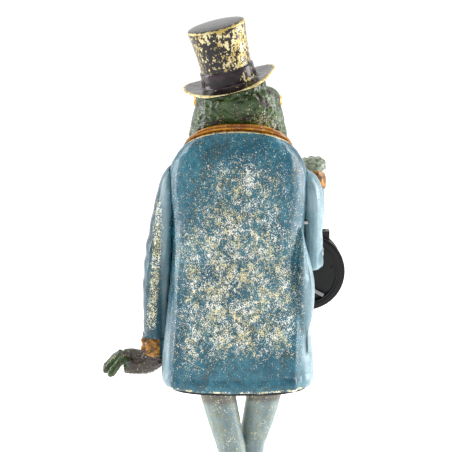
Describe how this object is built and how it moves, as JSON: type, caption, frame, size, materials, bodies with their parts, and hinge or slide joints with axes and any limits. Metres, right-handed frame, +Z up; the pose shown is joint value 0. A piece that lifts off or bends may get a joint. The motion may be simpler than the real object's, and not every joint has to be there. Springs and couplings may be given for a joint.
{
  "type": "mechanical bank",
  "caption": "Seated frog in a top hat and tail coat: the raised forearm drops a coin into a round drum on the knee, and the head nods.",
  "frame": {"origin": "underside of the base plate that he sits on, midway between the coat's sides and on the line where its front and back castings meet", "axes": "+Z up, the frog faces -Y, his left side is at +X"},
  "size_m": [0.165, 0.1716, 0.3408],
  "materials": {
    "coat_paint": "worn teal-blue gloss paint over cast iron",
    "trim_paint": "worn orange paint over cast iron",
    "skin_paint": "worn dark green and brown paint over cast iron",
    "hat_paint": "worn black paint with a gold undercoat",
    "trouser_paint": "worn slate-blue paint over cast iron",
    "tie_paint": "dark red paint",
    "eye_paint": "gloss yellow paint with dark pupils",
    "black_paint": "black japanned iron",
    "bare_iron": "bare casting",
    "steel": "plain steel",
    "bright_steel": "bright plated steel",
    "brass": "turned brass",
    "brass_relief": "aged cast brass",
    "black_plastic": "moulded black",
    "rubber": "black ring"
  },
  "bodies": {
    "figure": {"coat_back": "coat_paint", "coat_front": "coat_paint", "collar": "trim_paint", "base_plate": "black_paint", "base_screws": "steel", "coat_screws": "brass", "left_arm": "coat_paint", "left_hand": "skin_paint", "right_upper_arm": "coat_paint", "arm_screws": "steel", "elbow_pin": "steel", "shaft_bushes": "brass", "balance_spring": "steel", "neck_pin": "steel", "bow_tie": "tie_paint", "left_leg": "trouser_paint", "right_leg": "trouser_paint", "left_foot": "skin_paint", "right_foot": "skin_paint", "leg_screws": "steel", "foot_pins": "steel", "drum_body": "black_paint", "drum_face": "brass_relief", "drum_bracket": "black_paint", "bracket_screws": "steel"},
    "forearm": {"right_forearm": "coat_paint", "elbow_bush": "brass"},
    "rod": {"pull_rod": "steel"},
    "shaft": {"shoulder_crank": "steel", "cross_shaft": "steel", "counterweight_arm": "steel", "counterweight": "bare_iron", "nod_crank": "steel"},
    "head": {"head": "skin_paint", "eyes": "eye_paint", "head_tail": "steel", "tail_rivets": "steel", "top_hat": "hat_paint", "hat_screw": "steel"},
    "cover": {"drum_cover": "black_plastic", "cover_gasket": "rubber", "cover_pull": "bright_steel", "cover_boss": "black_plastic"}
  },
  "joints": [
    {"name": "forearm_drop", "type": "hinge", "parent": "figure", "child": "forearm", "pos_m": [-0.049, -0.012, 0.086], "axis": [1, 0, 0], "range_deg": [0, 42], "stiffness_Nm_per_rad": 0.0186, "springref_deg": -56.72},
    {"name": "rod_swing", "type": "hinge", "parent": "forearm", "child": "rod", "pos_m": [-0.0475, -0.00633, 0.0819], "axis": [1, 0, 0], "range_deg": [-42, 0]},
    {"name": "shaft_turn", "type": "hinge", "parent": "figure", "child": "shaft", "pos_m": [0, 0, 0.131], "axis": [1, 0, 0], "range_deg": [0, 42]},
    {"name": "head_nod", "type": "hinge", "parent": "figure", "child": "head", "pos_m": [0, 0, 0.15], "axis": [1, 0, 0], "range_deg": [0, 7.1]},
    {"name": "cover_pull_out", "type": "slide", "parent": "figure", "child": "cover", "axis": [0, 1, 0], "range_m": [0, 0.014]}
  ],
  "couplings": [
    {"joint": "rod_swing", "follows": "forearm_drop", "ratio": -1},
    {"joint": "shaft_turn", "follows": "forearm_drop", "ratio": 1},
    {"joint": "head_nod", "follows": "forearm_drop", "ratio": 0.1682}
  ]
}
